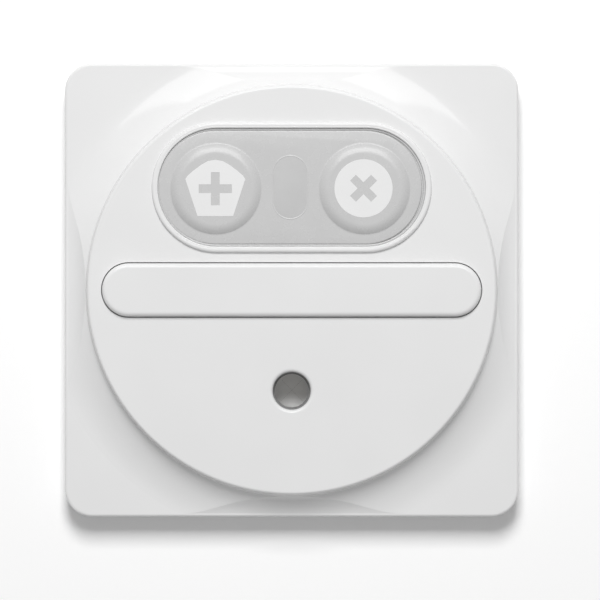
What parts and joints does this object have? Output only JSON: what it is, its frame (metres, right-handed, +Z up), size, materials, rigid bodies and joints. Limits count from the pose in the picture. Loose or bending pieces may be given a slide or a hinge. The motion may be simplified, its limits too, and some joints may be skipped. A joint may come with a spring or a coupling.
{
  "type": "nurse call point",
  "caption": "Square white wall plate with a round raised face: call and reset keys, a light window, a cover strip and a socket hole for a lead.",
  "frame": {"origin": "middle of the square plate, in the plane of its back rim, which lies on the wall; it is the centre of the two fixing holes", "axes": "-Y out of the wall towards the user, +Z up, +X to the user's right"},
  "size_m": [0.087, 0.0339, 0.087],
  "materials": {
    "white_shell": "satin gloss",
    "grey_silicone": "satin",
    "window_lens": "frosted",
    "white_inner": "matte",
    "board_green": "lacquered",
    "screw_steel": "plated",
    "black_case": "matte",
    "plunger_tan": "matte",
    "lamp_white": "clear resin",
    "contact_metal": "nickel over brass",
    "terminal_green": "matte",
    "can_metal": "drawn can"
  },
  "bodies": {
    "housing": {"front_plate": "white_shell", "keypad_mat": "grey_silicone", "light_window": "window_lens", "light_shroud": "white_inner", "keypad_frame": "white_inner", "circuit_board": "board_green", "board_screws": "screw_steel", "call_switch": "black_case", "reset_switch": "black_case", "upper_light": "lamp_white", "lower_light": "lamp_white", "jack_housing": "black_case", "jack_bush": "contact_metal", "jack_tip_spring": "contact_metal", "jack_ring_spring": "contact_metal", "terminal_block": "terminal_green", "terminal_clamp_1": "contact_metal", "terminal_clamp_2": "contact_metal", "terminal_clamp_3": "contact_metal", "terminal_clamp_4": "contact_metal", "terminal_screws": "screw_steel", "controller_chip": "black_case", "line_driver_chip": "black_case", "regulator": "black_case", "crystal": "can_metal", "smoothing_capacitor": "can_metal", "chip_resistor_1": "black_case", "chip_resistor_2": "black_case", "chip_resistor_3": "black_case", "chip_resistor_4": "black_case", "chip_resistor_5": "black_case", "chip_resistor_6": "black_case"},
    "call_key": {"call_key": "grey_silicone", "call_switch_plunger": "plunger_tan"},
    "reset_key": {"reset_key": "grey_silicone", "reset_switch_plunger": "plunger_tan"},
    "cover_strip": {"cover_strip": "white_shell"}
  },
  "joints": [
    {"name": "call_press", "type": "slide", "parent": "housing", "child": "call_key", "axis": [0, 1, 0], "range_m": [0, 0.0005], "stiffness_N_per_m": 3000},
    {"name": "reset_press", "type": "slide", "parent": "housing", "child": "reset_key", "axis": [0, 1, 0], "range_m": [0, 0.0005], "stiffness_N_per_m": 3000},
    {"name": "strip_lift_off", "type": "slide", "parent": "housing", "child": "cover_strip", "axis": [0, -1, 0], "range_m": [0, 0.012]}
  ]
}
